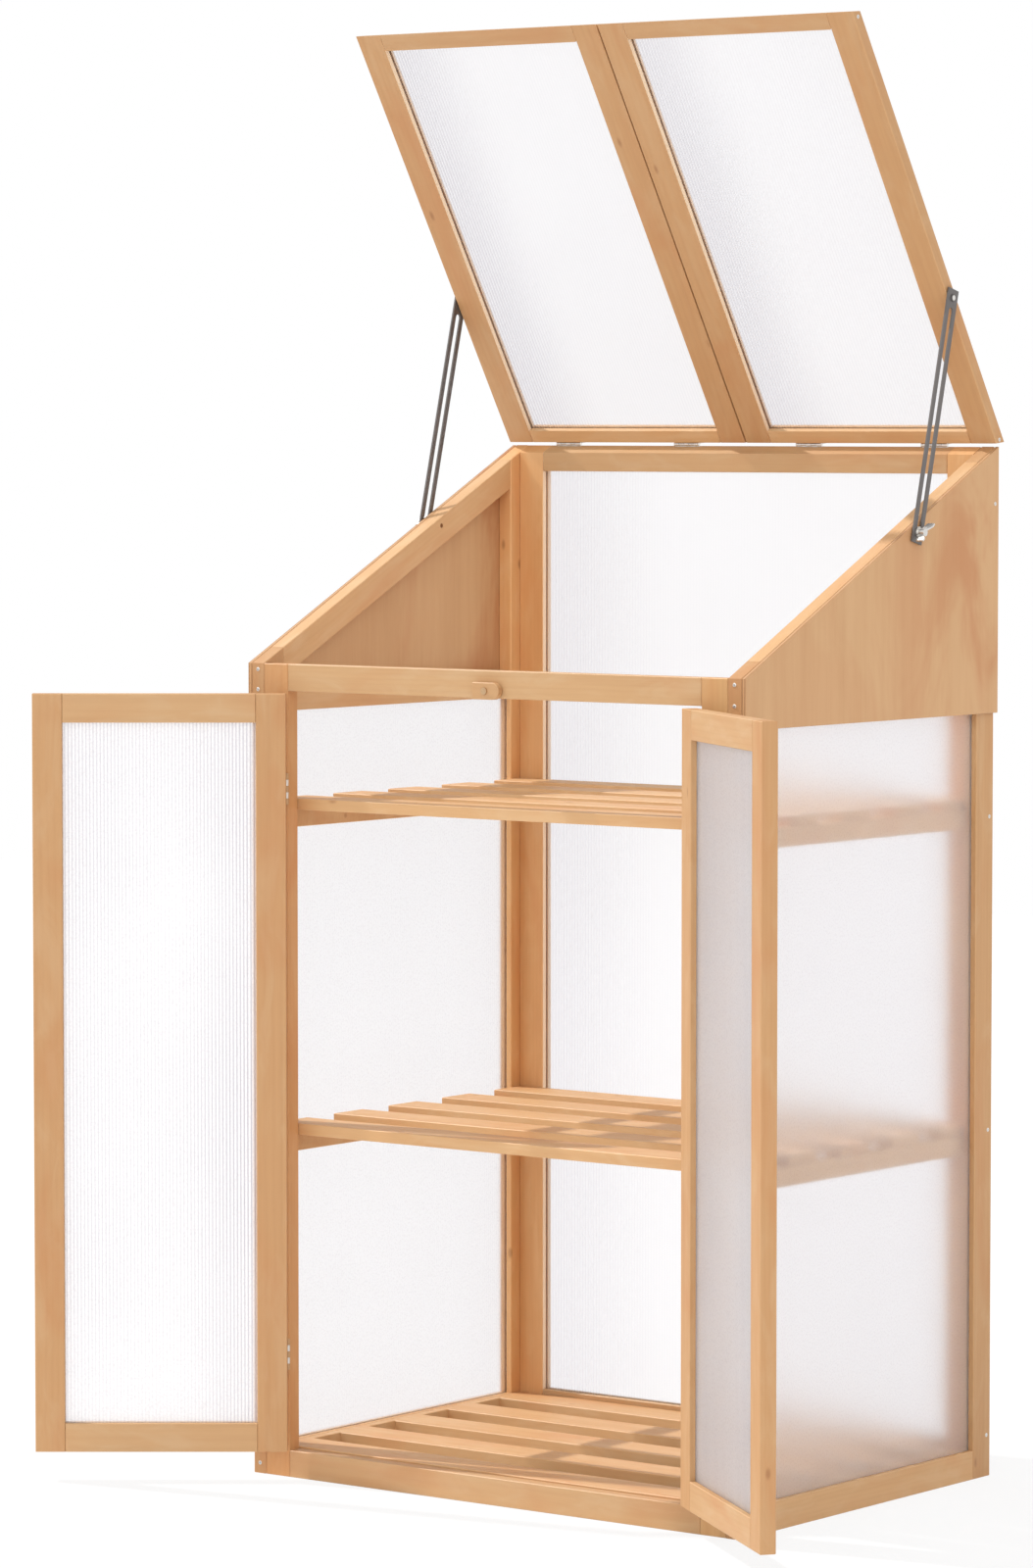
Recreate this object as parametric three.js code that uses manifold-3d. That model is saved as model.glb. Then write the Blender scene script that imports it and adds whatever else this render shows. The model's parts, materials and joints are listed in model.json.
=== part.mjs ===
// Wooden mini greenhouse: three tiers, two front doors and two lids held up by slotted stays.
// Millimetres. X runs across the front, Y from front to back and Z up. The origin is the middle
// of the underside of the front bottom rail. The model stands as photographed: open.
import * as THREE from "three";
import { mergeVertices } from "three/addons/utils/BufferGeometryUtils.js";
import Module from "manifold-3d";

const wasm = await Module();
wasm.setup();

// Overall sizes of the closed cabinet
const overallWidth = 700;
const frameDepth = 500;
const frontHeight = 938;
const rearHeight = 1186;

// Timber, board and glazing stock
const frameThickness = 18;
const postWidth = 35;
const railWidth = 31;
const cheekThickness = 6;
const panelThickness = 4;
const arris = 0.8; // small chamfer on every timber edge

// Clearances
const fit = 0.3; // gap at each fixed joint
const grooveDepth = 6;
const overrun = 5; // how far a cutter runs past what it cuts

// Side frames and back frame
const sideBottomRailHeight = 33;
const cheekDrop = 56; // front top down to the lower edge of the plywood cheeks and middle rails
const backBottomRailHeight = 39;

// Shelves
const shelfNames = ["bottom_shelf", "middle_shelf", "top_shelf"];
const topShelfDrop = 155; // front top down to the top shelf
const bottomShelfTop = 33;
const slatCount = 5;
const slatWidth = 53;
const slatThickness = 13;
const shelfEndGap = 1; // to the front and back frames
const shelfSideGap = 3; // from a slat's end to the side frame
const battenWidth = 20;
const battenHeight = 22;
const bearerWidth = 12; // side pieces of the bottom shelf, flush with its slats
const bearerHeight = 25;
const housing = 1; // how deep a slat is let onto its batten
const tenon = 5; // how far a bottom slat runs into its bearer

// Doors
const doorThickness = 18;
const doorStileWidth = 34;
const doorRailWidth = 33;
const doorGap = 1.2; // between door and stile, and between the doors
const doorHeadGap = 2; // above and below a door
const doorOpenAngle = THREE.MathUtils.degToRad(142.5);

// Butt hinges of the doors and lids
const hingeLength = 36;
const knuckleCount = 5;
const knuckleGap = 0.3;
const pinRadius = 1;
const pinSlack = 0.3;
const leafThickness = 1.2;
const gainSlack = 0.2; // round a leaf in its recess
const doorKnuckleRadius = 2.1;
const doorLeafWidth = 10;
const doorHingeInset = 110; // from a door's end to the middle of its hinge
const lidKnuckleRadius = 2;
const fixedLidLeafHeight = 18;
const movingLidLeafHeight = 9;
const lidHingeInset = 87; // from a lid's side to the middle of its hinge
const roundSides = 12; // facets of each knuckle and pin

// Lids
const lidThickness = 15;
const lidStileWidth = 35;
const lidFrontRailWidth = 21;
const lidRearRailWidth = 16;
const lidPanelSetback = 6.5; // from the underside of the lid to its panel
const lidOverhang = 5;
const lidSeat = 0.4; // under a closed lid
const lidSeam = 2; // between the lids
const lidRise = 0.4; // from the knuckles to the sloping top of the back rail
const lidOpenAngle = THREE.MathUtils.degToRad(84.4);

// Slotted stays and their wing screws
const stayRadius = 194; // from the hinge line to the pivot, and to the wing screw
const stayLead = THREE.MathUtils.degToRad(4.4); // pivot to wing screw, seen from the hinge, lid shut
const pivotInset = 5; // from the underside of the lid to the pivot
const stayWidth = 20;
const stayThickness = 2;
const stayGap = 1; // between stay and cabinet
const stayEnd = 10; // from the pivot to the upper end
const stayTail = 12.5; // from the wing screw to the lower end, lid open
const slotWidth = 8;
const slotSlack = 1; // left at each end of the travel
const slotSides = 8; // facets of each round slot end
const rivetRadius = 2.2;
const rivetHeadRadius = 4.2;
const rivetHeadHeight = 1.5;
const rivetLength = 12;
const boreSlack = 0.3;
const boltRadius = 2.5;
const boltLength = 18; // inside the cheek and the sloping rail
const washerRadius = 6.5;
const washerThickness = 1.2;
const hubRadius = 4.5;
const hubLength = 8;
const wingReach = 15;
const wingHeight = 9;
const wingThickness = 2;
const wingAngle = THREE.MathUtils.degToRad(38);
const screwSides = 16;

// Wooden turn button on the front top rail
const buttonShortEnd = 17.5;
const buttonLongEnd = 19.5;
const buttonHeight = 19;
const buttonThickness = 8;
const buttonGap = 0.5;
const buttonClearance = 1; // above the doors
const buttonScrewRadius = 2;
const buttonScrewHeadRadius = 4;
const buttonScrewHeadHeight = 1.6;
const buttonScrewDepth = 12;
const roundEndSides = 10;

// Worked out from the sizes above
const halfWidth = overallWidth / 2;
const frontY = -frameThickness / 2;
const rearY = frontY + frameDepth;
const slope = (rearHeight - frontHeight) / frameDepth;
const slopeAngle = Math.atan(slope);
const sideOuter = halfWidth - cheekThickness;
const sideInner = sideOuter - frameThickness;
const doorway = sideInner - postWidth;
const cheekBottom = frontHeight - cheekDrop;
const shelfPitch = (frontHeight - topShelfDrop - bottomShelfTop) / (shelfNames.length - 1);
const doorBottom = railWidth + doorHeadGap;
const doorTop = frontHeight - railWidth - doorHeadGap;
const doorWidth = doorway - doorGap * 1.5;
const pinProud = doorKnuckleRadius + fit;
const hingeY = rearY - lidKnuckleRadius;
const hingeZ = topAt(hingeY) + (lidKnuckleRadius + lidRise) / Math.cos(slopeAngle);
const stayX = halfWidth + stayGap;

// Height of the sloping top over a place along the depth
function topAt(y) {
  return frontHeight + (y - frontY) * slope;
}

// Finishes
const finish = {
  timber: { color: 0xcf9f6c, roughness: 0.6, metalness: 0 },
  plywood: { color: 0xcda070, roughness: 0.65, metalness: 0 },
  glazing: { color: 0xf1eff5, roughness: 0.3, metalness: 0 },
  darkSteel: { color: 0x6b6a6e, roughness: 0.45, metalness: 0.7 },
  brightSteel: { color: 0xc9cacc, roughness: 0.3, metalness: 1 },
};

function piece(name, geometry, look) {
  const mesh = new THREE.Mesh(geometry, new THREE.MeshStandardMaterial(finish[look]));
  mesh.name = name;
  return mesh;
}

// Solid modelling: a geometry becomes a solid, and a solid a geometry
function toSolid(geometry) {
  const bare = new THREE.BufferGeometry();
  bare.setAttribute("position", geometry.getAttribute("position").clone());
  if (geometry.index) {
    bare.setIndex(geometry.index.clone());
  }
  const closed = mergeVertices(bare);
  const mesh = new wasm.Mesh({
    numProp: 3,
    vertProperties: Float32Array.from(closed.getAttribute("position").array),
    triVerts: Uint32Array.from(closed.index.array),
  });
  return new wasm.Manifold(mesh);
}

function toGeometry(solid) {
  const mesh = solid.getMesh();
  const geometry = new THREE.BufferGeometry();
  geometry.setAttribute("position", new THREE.BufferAttribute(Float32Array.from(mesh.vertProperties), 3));
  geometry.setIndex(new THREE.BufferAttribute(Uint32Array.from(mesh.triVerts), 1));
  const faceted = geometry.toNonIndexed();
  faceted.computeVertexNormals();
  return faceted;
}

function cut(geometry, ...cutters) {
  return toGeometry(cutters.reduce((solid, cutter) => solid.subtract(toSolid(cutter)), toSolid(geometry)));
}

function join(...geometries) {
  return toGeometry(geometries.map(toSolid).reduce((whole, part) => whole.add(part)));
}

// Outlines are lists of [u, v] points, counter-clockwise
function rectangle(u0, v0, u1, v1) {
  return [[u0, v0], [u1, v0], [u1, v1], [u0, v1]];
}

function outline(points) {
  return new THREE.Shape(points.map(([u, v]) => new THREE.Vector2(u, v)));
}

// A flat solid with sharp edges, from n = 0 to its thickness
function prism(points, thickness) {
  return new THREE.ExtrudeGeometry(outline(points), { depth: thickness, bevelEnabled: false });
}

// The same with a small chamfer round both faces, as sanded timber has
function board(points, thickness) {
  const settings = {
    depth: thickness - arris * 2,
    bevelThickness: arris,
    bevelSize: arris,
    bevelOffset: -arris,
    bevelSegments: 1,
  };
  return new THREE.ExtrudeGeometry(outline(points), settings).translate(0, 0, arris);
}

// Puts an outline drawn as [x, z] upright, with its thickness ending at a depth
function upright(geometry, backY) {
  return geometry.rotateX(Math.PI / 2).translate(0, backY, 0);
}

// Puts an outline drawn as [y, z] in a side plane, with its thickness starting at x
function sideways(geometry, x) {
  return geometry.rotateX(Math.PI / 2).rotateZ(Math.PI / 2).translate(x, 0, 0);
}

function rod(radius, length, sides) {
  return new THREE.CylinderGeometry(radius, radius, length, sides);
}

// A rod along X from one place to another, about a line at y, z
function rodAlongX(radius, x0, x1, y, z, sides) {
  const geometry = rod(radius, Math.abs(x1 - x0), sides).rotateZ(Math.PI / 2);
  return geometry.translate((x0 + x1) / 2, y, z);
}

function box(x0, y0, z0, x1, y1, z1) {
  const geometry = new THREE.BoxGeometry(x1 - x0, y1 - y0, z1 - z0);
  return geometry.translate((x0 + x1) / 2, (y0 + y1) / 2, (z0 + z1) / 2);
}

// The panel of a frame and the groove that takes it, both drawn on the frame's opening
function panelOutline(u0, v0, u1, v1, reach) {
  return rectangle(u0 - reach, v0 - reach, u1 + reach, v1 + reach);
}

const panelReach = grooveDepth - fit;
const grooveThickness = panelThickness + fit * 2;

// Both as flat solids round n = 0
function panelSolid(opening) {
  return prism(panelOutline(...opening, panelReach), panelThickness).translate(0, 0, -panelThickness / 2);
}

function grooveSolid(opening) {
  return prism(panelOutline(...opening, grooveDepth), grooveThickness).translate(0, 0, -grooveThickness / 2);
}

// The pin of a hinge as its fixed leaf holds it, or the bore for it in the moving one
function hingePin(isMoving) {
  return rod(isMoving ? pinRadius + pinSlack : pinRadius, hingeLength, roundSides);
}

// The knuckles of one leaf along Z, about the pin. The fixed leaf has every other one and the pin.
function knuckles(radius, isMoving) {
  const step = hingeLength / knuckleCount;
  const parts = [];
  for (let index = 0; index < knuckleCount; index += 1) {
    if ((index % 2 === 1) !== isMoving) {
      continue;
    }
    const middle = (index + 0.5) * step - hingeLength / 2;
    const barrel = rod(radius, step - knuckleGap, roundSides).rotateX(Math.PI / 2).translate(0, 0, middle);
    parts.push({ barrel, middle, length: step - knuckleGap });
  }
  return parts;
}

// A door leaf along Z, screwed flat to the front face beside the pin. side is the side of the pin
// that it lies on: 1 is +X and -1 is -X. The moving leaf reaches into its door's stile.
function doorLeaf(side, isMoving) {
  const half = hingeLength / 2;
  const root = doorKnuckleRadius + fit;
  const y0 = doorKnuckleRadius - leafThickness;
  const y1 = isMoving ? pinProud + fit : doorKnuckleRadius;
  const plateEnds = [side * root, side * (root + doorLeafWidth)].sort((a, b) => a - b);
  const tabEnds = [0, side * (root + fit)].sort((a, b) => a - b);
  let leaf = toSolid(box(plateEnds[0], y0, -half, plateEnds[1], y1, half));
  for (const { barrel, middle, length } of knuckles(doorKnuckleRadius, isMoving)) {
    const foot = middle - length / 2;
    const tab = box(tabEnds[0], y0, foot, tabEnds[1], doorKnuckleRadius, foot + length);
    leaf = leaf.add(toSolid(barrel)).add(toSolid(tab));
  }
  const pin = hingePin(isMoving).rotateX(Math.PI / 2);
  return toGeometry(isMoving ? leaf.subtract(toSolid(pin)) : leaf.add(toSolid(pin)));
}

const doorHingeHeights = [doorBottom + doorHingeInset, doorTop - doorHingeInset];

// Where the stay pivots on its lid, in the lid's own frame, and where its wing screw stands
const lidUnderside = lidSeat - lidKnuckleRadius - lidRise;
const pivotZ = lidUnderside + pivotInset;
const pivotY = -Math.sqrt(stayRadius ** 2 - pivotZ ** 2);
const pivotBearing = Math.atan2(pivotZ, pivotY) + slopeAngle;
const boltY = hingeY + stayRadius * Math.cos(pivotBearing + stayLead);
const boltZ = hingeZ + stayRadius * Math.sin(pivotBearing + stayLead);
const shutReach = 2 * stayRadius * Math.sin(stayLead / 2);
const openReach = 2 * stayRadius * Math.sin((stayLead + lidOpenAngle) / 2);
const boltBoreRadius = boltRadius + boreSlack;

// Side frames: posts, rails, a twin-wall panel below and a plywood cheek above
function sideFrame(side, word) {
  const x = side > 0 ? sideInner : -sideOuter;
  const innerFront = frontY + postWidth;
  const innerRear = rearY - postWidth;
  const railDrop = railWidth / Math.cos(slopeAngle);
  const railY0 = innerFront + fit;
  const railY1 = innerRear - fit;
  const glazed = [innerFront, sideBottomRailHeight, innerRear, cheekBottom];
  const middle = x + frameThickness / 2;
  const groove = sideways(grooveSolid(glazed), middle);
  const boltBore = rodAlongX(
    boltBoreRadius,
    side * (sideOuter - boltLength),
    side * (halfWidth + overrun),
    boltY,
    boltZ,
    screwSides,
  );
  const member = (points) => sideways(board(points, frameThickness), x);
  const frontPost = member([
    [frontY, 0],
    [innerFront, 0],
    [innerFront, topAt(innerFront)],
    [frontY, topAt(frontY)],
  ]);
  const rearPost = member([
    [innerRear, 0],
    [rearY, 0],
    [rearY, topAt(rearY)],
    [innerRear, topAt(innerRear)],
  ]);
  const bottomRail = member(rectangle(railY0, 0, railY1, sideBottomRailHeight));
  const middleRail = member(rectangle(railY0, cheekBottom, railY1, cheekBottom + railWidth));
  const slopingRail = member([
    [railY0, topAt(railY0) - railDrop],
    [railY1, topAt(railY1) - railDrop],
    [railY1, topAt(railY1)],
    [railY0, topAt(railY0)],
  ]);
  const cheek = board(
    [
      [frontY, cheekBottom],
      [rearY, cheekBottom],
      [rearY, topAt(rearY)],
      [frontY, topAt(frontY)],
    ],
    cheekThickness - fit,
  );
  const cheekX = side > 0 ? sideOuter + fit : -halfWidth;
  return [
    piece(`${word}_front_post`, cut(frontPost, groove), "timber"),
    piece(`${word}_rear_post`, cut(rearPost, groove), "timber"),
    piece(`${word}_bottom_rail`, cut(bottomRail, groove), "timber"),
    piece(`${word}_middle_rail`, cut(middleRail, groove), "timber"),
    piece(`${word}_sloping_rail`, cut(slopingRail, boltBore), "timber"),
    piece(`${word}_side_panel`, sideways(panelSolid(glazed), middle), "glazing"),
    piece(`${word}_cheek`, cut(sideways(cheek, cheekX), boltBore), "plywood"),
  ];
}

// Front frame: two stiles and two rails round the doorway
function frontFrame() {
  const backY = frontY + frameThickness;
  const parts = [];
  for (const [side, word] of [[-1, "left"], [1, "right"]]) {
    const edges = [side * doorway, side * (sideInner - fit)].sort((a, b) => a - b);
    const stile = board(rectangle(edges[0], 0, edges[1], frontHeight), frameThickness);
    parts.push(piece(`front_${word}_stile`, upright(stile, backY), "timber"));
  }
  const railEnd = doorway - fit;
  const bottom = upright(board(rectangle(-railEnd, 0, railEnd, railWidth), frameThickness), backY);
  const top = rectangle(-railEnd, frontHeight - railWidth, railEnd, frontHeight);
  const screwBore = rod(buttonScrewRadius + boreSlack, buttonScrewDepth * 2, screwSides);
  screwBore.translate(0, frontY, buttonZ);
  parts.push(piece("front_bottom_rail", bottom, "timber"));
  parts.push(piece("front_top_rail", cut(upright(board(top, frameThickness), backY), screwBore), "timber"));
  return parts;
}

// Back frame: bevelled along the slope, with one tall panel and recesses for the lid hinges
function backFrame() {
  const openTop = rearHeight - railWidth;
  const stileInner = sideInner - fit - postWidth;
  const high = rearHeight + overrun;
  const nearY = rearY - frameThickness - overrun;
  const farY = rearY + overrun;
  const bevel = [
    [nearY, topAt(nearY)],
    [farY, topAt(farY)],
    [farY, high + railWidth],
    [nearY, high + railWidth],
  ];
  const aboveSlope = sideways(prism(bevel, overallWidth), -halfWidth);
  const glazed = [-stileInner, backBottomRailHeight, stileInner, openTop];
  const middle = rearY - frameThickness / 2;
  const groove = upright(grooveSolid(glazed), middle);
  const member = (points) => upright(board(points, frameThickness), rearY);
  const stileAt = (u0, u1) => cut(member(rectangle(u0, 0, u1, rearHeight)), groove, aboveSlope);
  const railEnd = stileInner - fit;
  const bottomRail = member(rectangle(-railEnd, 0, railEnd, backBottomRailHeight));
  const topRail = member(rectangle(-railEnd, openTop, railEnd, rearHeight));
  const gains = lidHingeSpots().map((x) => {
    const half = hingeLength / 2 + gainSlack;
    const foot = hingeZ - lidKnuckleRadius - fit - fixedLidLeafHeight - gainSlack;
    return box(x - half, rearY - leafThickness - gainSlack * 2, foot, x + half, farY, high);
  });
  return [
    piece("back_left_stile", stileAt(-sideInner + fit, -stileInner), "timber"),
    piece("back_right_stile", stileAt(stileInner, sideInner - fit), "timber"),
    piece("back_bottom_rail", cut(bottomRail, groove), "timber"),
    piece("back_top_rail", cut(topRail, groove, aboveSlope, ...gains), "timber"),
    piece("back_panel", upright(panelSolid(glazed), middle), "glazing"),
  ];
}

// Places of the slats along the depth
function slatFronts() {
  const first = frontY + frameThickness + shelfEndGap;
  const last = rearY - frameThickness - shelfEndGap - slatWidth;
  const step = (last - first) / (slatCount - 1);
  return Array.from({ length: slatCount }, (_, index) => first + index * step);
}

// A board lying flat, its outline drawn as [x, y], with its top at a height
function lying(points, thickness, top) {
  return board(points, thickness).translate(0, 0, top - thickness);
}

// Upper shelves: slats laid across two battens. Bottom shelf: slats let into two flush bearers.
function shelf(name, top) {
  const isBottom = name === shelfNames[0];
  const y0 = frontY + frameThickness + shelfEndGap;
  const y1 = rearY - frameThickness - shelfEndGap;
  const width = isBottom ? bearerWidth : battenWidth;
  const height = isBottom ? bearerHeight : battenHeight;
  const carrierTop = isBottom ? top : top - slatThickness + housing;
  const end = isBottom ? sideInner - fit - bearerWidth + tenon : sideInner - shelfSideGap;
  const outer = sideInner - fit;
  const carriers = [-1, 1].map((side) => {
    const edges = [side * (outer - width), side * outer].sort((a, b) => a - b);
    return lying(rectangle(edges[0], y0, edges[1], y1), height, carrierTop);
  });
  const slats = slatFronts().map((y) => lying(rectangle(-end, y, end, y + slatWidth), slatThickness, top));
  return piece(name, join(...carriers, ...slats), "timber");
}

// A door, drawn shut and turned open about its pin. side is the side of the cabinet it hangs on.
function door(side, word) {
  const group = new THREE.Group();
  const y1 = pinProud + doorThickness;
  const edge = -side * (doorGap / 2);
  const across = (distance) => edge - side * distance;
  const member = (from, to, z0, z1) => {
    const edges = [across(from), across(to)].sort((a, b) => a - b);
    return upright(board(rectangle(edges[0], z0, edges[1], z1), doorThickness), y1);
  };
  const inner = [across(doorStileWidth), across(doorWidth - doorStileWidth)].sort((a, b) => a - b);
  const glazed = [inner[0], doorBottom + doorRailWidth, inner[1], doorTop - doorRailWidth];
  const middle = pinProud + doorThickness / 2;
  const groove = upright(grooveSolid(glazed), middle);
  const panel = upright(panelSolid(glazed), middle);
  const leaves = doorHingeHeights.map((height) => doorLeaf(-side, true).translate(0, 0, height));
  const railFrom = doorStileWidth + fit;
  const railTo = doorWidth - doorStileWidth - fit;
  const hingeStile = cut(member(0, doorStileWidth, doorBottom, doorTop), groove);
  const freeStile = cut(member(doorWidth - doorStileWidth, doorWidth, doorBottom, doorTop), groove);
  const bottomRail = member(railFrom, railTo, doorBottom, doorBottom + doorRailWidth);
  const topRail = member(railFrom, railTo, doorTop - doorRailWidth, doorTop);
  group.add(
    piece(`${word}_door_hinge_stile`, join(hingeStile, ...leaves), "timber"),
    piece(`${word}_door_free_stile`, freeStile, "timber"),
    piece(`${word}_door_bottom_rail`, cut(bottomRail, groove), "timber"),
    piece(`${word}_door_top_rail`, cut(topRail, groove), "timber"),
    piece(`${word}_door_panel`, panel, "glazing"),
  );
  group.position.set(side * (doorway - doorGap / 2), frontY - pinProud, 0);
  group.rotation.z = side * doorOpenAngle;
  return group;
}

// The leaves that stay on the front stiles, each with its pin
function fixedDoorLeaves(side, word) {
  return doorHingeHeights.map((height, index) => {
    const name = `${word}_door_${index ? "upper" : "lower"}_hinge`;
    const mesh = piece(name, doorLeaf(side, false), "brightSteel");
    mesh.position.set(side * (doorway - doorGap / 2), frontY - pinProud, height);
    return mesh;
  });
}

// Places of the lid hinges across the cabinet
function lidHingeSpots() {
  const inner = lidSeam / 2 + lidHingeInset;
  const outer = halfWidth - lidHingeInset;
  return [-inner, -outer, inner, outer];
}

// A lid leaf along X. The plate stands behind the barrel on the back rail, or before it on the lid.
function lidLeaf(isMoving) {
  const half = hingeLength / 2;
  const height = isMoving ? movingLidLeafHeight : fixedLidLeafHeight;
  const sign = isMoving ? 1 : -1;
  const y0 = isMoving ? -lidKnuckleRadius - fit : lidKnuckleRadius - leafThickness;
  const y1 = y0 + leafThickness + (isMoving ? fit : 0);
  const root = lidKnuckleRadius + fit;
  const plateEnds = [sign * root, sign * (root + height)].sort((a, b) => a - b);
  const tabEnds = [0, sign * (root + fit)].sort((a, b) => a - b);
  let leaf = toSolid(box(-half, y0, plateEnds[0], half, y1, plateEnds[1]));
  for (const { barrel, middle, length } of knuckles(lidKnuckleRadius, isMoving)) {
    const tab = box(middle - length / 2, y0, tabEnds[0], middle + length / 2, y1, tabEnds[1]);
    leaf = leaf.add(toSolid(barrel.rotateY(Math.PI / 2))).add(toSolid(tab));
  }
  const pin = hingePin(isMoving).rotateZ(Math.PI / 2);
  return toGeometry(isMoving ? leaf.subtract(toSolid(pin)) : leaf.add(toSolid(pin)));
}

function fixedLidLeaves() {
  const names = ["left_lid_inner", "left_lid_outer", "right_lid_inner", "right_lid_outer"];
  return lidHingeSpots().map((x, index) => {
    const mesh = piece(`${names[index]}_hinge`, lidLeaf(false), "brightSteel");
    mesh.position.set(x, hingeY, hingeZ);
    return mesh;
  });
}

// A lid in its own frame: X across, -Y down the slope from the hinge line, Z square to the lid.
// Its ends are cut upright, as they stand when the lid is shut.
function lid(side, word) {
  const group = new THREE.Group();
  const top = lidUnderside + lidThickness;
  const rear = -lidKnuckleRadius - fit;
  const front = frontY - lidOverhang - hingeY;
  const along = (depth, z) => (depth + z * Math.sin(slopeAngle)) / Math.cos(slopeAngle);
  const frontInner = along(front, lidUnderside) + lidFrontRailWidth;
  const rearInner = along(rear, lidUnderside) - lidRearRailWidth;
  const x0 = lidSeam / 2;
  const x1 = halfWidth;
  const member = (points, from, to) => {
    const edges = [side * from, side * to].sort((a, b) => a - b);
    return sideways(board(points, edges[1] - edges[0]), edges[0]);
  };
  const stileEnds = [
    [along(front, lidUnderside), lidUnderside],
    [along(rear, lidUnderside), lidUnderside],
    [along(rear, top), top],
    [along(front, top), top],
  ];
  const frontEnds = [stileEnds[0], [frontInner, lidUnderside], [frontInner, top], stileEnds[3]];
  const rearEnds = [[rearInner, lidUnderside], stileEnds[1], stileEnds[2], [rearInner, top]];
  const panelX = [side * (x0 + lidStileWidth), side * (x1 - lidStileWidth)].sort((a, b) => a - b);
  const glazed = [panelX[0], frontInner, panelX[1], rearInner];
  const panelZ = lidUnderside + lidPanelSetback + panelThickness / 2;
  const panel = panelSolid(glazed).translate(0, 0, panelZ);
  const groove = grooveSolid(glazed).translate(0, 0, panelZ);
  const rivetBore = rodAlongX(
    rivetRadius + boreSlack,
    side * (halfWidth - rivetLength - fit),
    side * (halfWidth + overrun),
    pivotY,
    pivotZ,
    screwSides,
  );
  const railFrom = x0 + lidStileWidth + fit;
  const railTo = x1 - lidStileWidth - fit;
  const leaves = lidHingeSpots()
    .filter((x) => x * side > 0)
    .map((x) => lidLeaf(true).rotateX(-slopeAngle).translate(x, 0, 0));
  const outerStile = member(stileEnds, x1 - lidStileWidth, x1);
  const innerStile = member(stileEnds, x0, x0 + lidStileWidth);
  const frontRail = member(frontEnds, railFrom, railTo);
  const rearRail = cut(member(rearEnds, railFrom, railTo), groove);
  group.add(
    piece(`${word}_lid_outer_stile`, cut(outerStile, groove, rivetBore), "timber"),
    piece(`${word}_lid_inner_stile`, cut(innerStile, groove), "timber"),
    piece(`${word}_lid_front_rail`, cut(frontRail, groove), "timber"),
    piece(`${word}_lid_rear_rail`, join(rearRail, ...leaves), "timber"),
    piece(`${word}_lid_panel`, panel, "glazing"),
    stay(side, word),
  );
  group.position.set(0, hingeY, hingeZ);
  group.rotation.x = slopeAngle - lidOpenAngle;
  return group;
}

// A slotted stay, drawn hanging from its pivot. The rivet that it turns on is part of it.
function stay(side, word) {
  const half = stayWidth / 2;
  const bar = outline(rectangle(-half, -openReach - stayTail, half, stayEnd));
  const slot = new THREE.Path();
  const slotTop = -shutReach + boltRadius + slotSlack - slotWidth / 2;
  const slotBottom = -openReach - boltRadius - slotSlack + slotWidth / 2;
  slot.absarc(0, slotTop, slotWidth / 2, 0, Math.PI, false);
  slot.absarc(0, slotBottom, slotWidth / 2, Math.PI, Math.PI * 2, false);
  bar.holes.push(slot);
  const settings = { depth: stayThickness, bevelEnabled: false, curveSegments: slotSides };
  const x = side > 0 ? stayX : -stayX - stayThickness;
  const flat = sideways(new THREE.ExtrudeGeometry(bar, settings), x);
  const outerFace = side * (stayX + stayThickness);
  const headFace = outerFace + side * rivetHeadHeight;
  const shank = rodAlongX(rivetRadius, side * (halfWidth - rivetLength), outerFace, 0, 0, screwSides);
  const head = rodAlongX(rivetHeadRadius, outerFace - side * fit, headFace, 0, 0, screwSides);
  const mesh = piece(`${word}_stay`, join(flat, shank, head), "darkSteel");
  mesh.position.set(0, pivotY, pivotZ);
  mesh.rotation.x = stayTurn;
  return mesh;
}

// The stay's turn against its lid: it points from its pivot on the open lid to the wing screw
const openBearing = pivotBearing - lidOpenAngle;
const openPivotY = hingeY + stayRadius * Math.cos(openBearing);
const openPivotZ = hingeZ + stayRadius * Math.sin(openBearing);
const stayTurn = Math.atan2(boltY - openPivotY, openPivotZ - boltZ) - slopeAngle + lidOpenAngle;

// A wing screw: bolt through the slot, washer, hub and two wings
function wingScrew(side, word) {
  const washerX = stayX + stayThickness + fit;
  const hubX = washerX + washerThickness;
  const hubEnd = hubX + hubLength;
  const shank = rodAlongX(boltRadius, side * (sideOuter - boltLength + fit), side * hubX, 0, 0, screwSides);
  const washer = rodAlongX(washerRadius, side * washerX, side * hubX, 0, 0, screwSides);
  const hub = rodAlongX(hubRadius, side * (hubX - fit), side * hubEnd, 0, 0, screwSides);
  const wings = [-1, 1].map((hand) => {
    const points = [
      [0, hubX + washerThickness],
      [wingReach / 2, hubX + washerThickness],
      [wingReach, hubEnd - wingHeight / 2],
      [wingReach, hubEnd + wingHeight / 2],
      [wingReach - wingHeight / 2, hubEnd + wingHeight / 2],
      [hubRadius, hubEnd],
      [0, hubEnd],
    ];
    const blade = prism(points, wingThickness).translate(0, 0, -wingThickness / 2);
    const turned = blade.rotateZ(-Math.PI / 2);
    const faced = hand > 0 ? turned : turned.rotateX(Math.PI);
    return side > 0 ? faced : faced.rotateZ(Math.PI);
  });
  const mesh = piece(`${word}_wing_screw`, join(shank, washer, hub, ...wings), "brightSteel");
  mesh.position.set(0, boltY, boltZ);
  mesh.rotation.x = wingAngle;
  return mesh;
}

// Turn button, lying level with its round end to the right, and the screw that it turns on
const buttonZ = doorTop + buttonClearance + buttonHeight / 2;

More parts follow.
